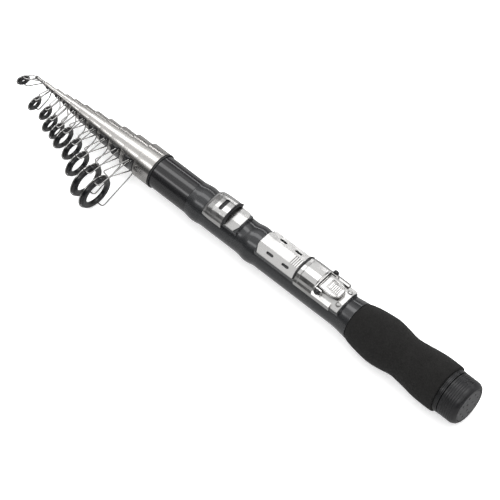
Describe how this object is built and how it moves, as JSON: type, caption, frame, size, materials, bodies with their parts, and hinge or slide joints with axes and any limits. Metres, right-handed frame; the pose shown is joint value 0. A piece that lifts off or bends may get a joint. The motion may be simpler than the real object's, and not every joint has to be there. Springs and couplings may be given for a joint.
{
  "type": "fishing rod",
  "caption": "Closed telescopic fishing rod with ringed side guides, lever-locked reel seat, foam grip and screw-in butt cap; no reel fitted.",
  "frame": {"origin": "middle of the flat that a reel foot lies on, on top of the reel seat", "axes": "+X along the rod towards the butt, +Z out of the reel bed, away from the rod's axis, +Y to the left of that; the guides point towards -Y"},
  "size_m": [0.3818, 0.0691, 0.0374],
  "materials": {
    "polished_silver": "polished",
    "satin_silver": "satin",
    "bright_steel": "polished",
    "glossy_black": "glossy",
    "blank_black": "semi-gloss",
    "gunmetal": "glossy",
    "liner_black": "matte",
    "ring_black": "glossy",
    "foam_black": "matte",
    "cap_black": "satin",
    "inlay_grey": "satin"
  },
  "bodies": {
    "butt": {"butt_blank": "glossy_black", "mouth_collar": "polished_silver", "collar_trim_ring": "liner_black", "butt_thread_insert": "satin_silver", "reel_seat": "gunmetal", "front_foot_plate": "satin_silver", "track_plate": "satin_silver", "track_rivet_left": "satin_silver", "track_rivet_right": "satin_silver", "front_hood": "satin_silver", "front_hood_liner": "liner_black", "foam_grip": "foam_black", "grip_end_collar": "cap_black"},
    "butt_cap_body": {"butt_cap": "cap_black", "cap_inlay": "inlay_grey", "cap_o_ring": "liner_black"},
    "slider": {"sliding_hood": "satin_silver", "sliding_hood_liner": "liner_black", "lever_pin": "liner_black"},
    "lever": {"lock_lever": "satin_silver"},
    "section_9": {"section_9_blank": "blank_black", "section_9_sleeve": "polished_silver", "guide_9_frame": "bright_steel", "guide_9_ring": "ring_black"},
    "section_8": {"section_8_blank": "blank_black", "section_8_sleeve": "polished_silver", "guide_8_frame": "bright_steel", "guide_8_ring": "ring_black"},
    "section_7": {"section_7_blank": "blank_black", "section_7_sleeve": "polished_silver", "guide_7_frame": "bright_steel", "guide_7_ring": "ring_black"},
    "section_6": {"section_6_blank": "blank_black", "section_6_sleeve": "polished_silver", "guide_6_frame": "bright_steel", "guide_6_ring": "ring_black"},
    "section_5": {"section_5_blank": "blank_black", "section_5_sleeve": "polished_silver", "guide_5_frame": "bright_steel", "guide_5_ring": "ring_black"},
    "section_4": {"section_4_blank": "blank_black", "section_4_sleeve": "polished_silver", "guide_4_frame": "bright_steel", "guide_4_ring": "ring_black"},
    "section_3": {"section_3_blank": "blank_black", "section_3_sleeve": "polished_silver", "guide_3_frame": "bright_steel", "guide_3_ring": "ring_black"},
    "section_2": {"section_2_blank": "blank_black", "section_2_sleeve": "polished_silver", "guide_2_frame": "bright_steel", "guide_2_ring": "ring_black"},
    "section_1": {"section_1_blank": "blank_black", "section_1_sleeve": "polished_silver", "guide_1_frame": "bright_steel", "guide_1_ring": "ring_black"},
    "tip": {"tip_blank": "blank_black", "tip_top_frame": "bright_steel", "tip_top_ring": "ring_black"}
  },
  "joints": [
    {"name": "section_9_slide", "type": "slide", "parent": "butt", "child": "section_9", "axis": [-1, 0, 0], "range_m": [0, 0.2045]},
    {"name": "section_8_slide", "type": "slide", "parent": "section_9", "child": "section_8", "axis": [-1, 0, 0], "range_m": [0, 0.2056]},
    {"name": "section_7_slide", "type": "slide", "parent": "section_8", "child": "section_7", "axis": [-1, 0, 0], "range_m": [0, 0.2063]},
    {"name": "section_6_slide", "type": "slide", "parent": "section_7", "child": "section_6", "axis": [-1, 0, 0], "range_m": [0, 0.2064]},
    {"name": "section_5_slide", "type": "slide", "parent": "section_6", "child": "section_5", "axis": [-1, 0, 0], "range_m": [0, 0.2077]},
    {"name": "section_4_slide", "type": "slide", "parent": "section_5", "child": "section_4", "axis": [-1, 0, 0], "range_m": [0, 0.209]},
    {"name": "section_3_slide", "type": "slide", "parent": "section_4", "child": "section_3", "axis": [-1, 0, 0], "range_m": [0, 0.2101]},
    {"name": "section_2_slide", "type": "slide", "parent": "section_3", "child": "section_2", "axis": [-1, 0, 0], "range_m": [0, 0.2091]},
    {"name": "section_1_slide", "type": "slide", "parent": "section_2", "child": "section_1", "axis": [-1, 0, 0], "range_m": [0, 0.2078]},
    {"name": "tip_slide", "type": "slide", "parent": "section_1", "child": "tip", "axis": [-1, 0, 0], "range_m": [0, 0.2093]},
    {"name": "hood_slide", "type": "slide", "parent": "butt", "child": "slider", "axis": [-1, 0, 0], "range_m": [0, 0.022]},
    {"name": "lever_hinge", "type": "hinge", "parent": "slider", "child": "lever", "pos_m": [0.0403, 0, 0.0024], "axis": [0, -1, 0], "range_deg": [0, 100]},
    {"name": "cap_slide", "type": "slide", "parent": "butt", "child": "butt_cap_body", "axis": [1, 0, 0], "range_m": [0, 0.03]}
  ]
}
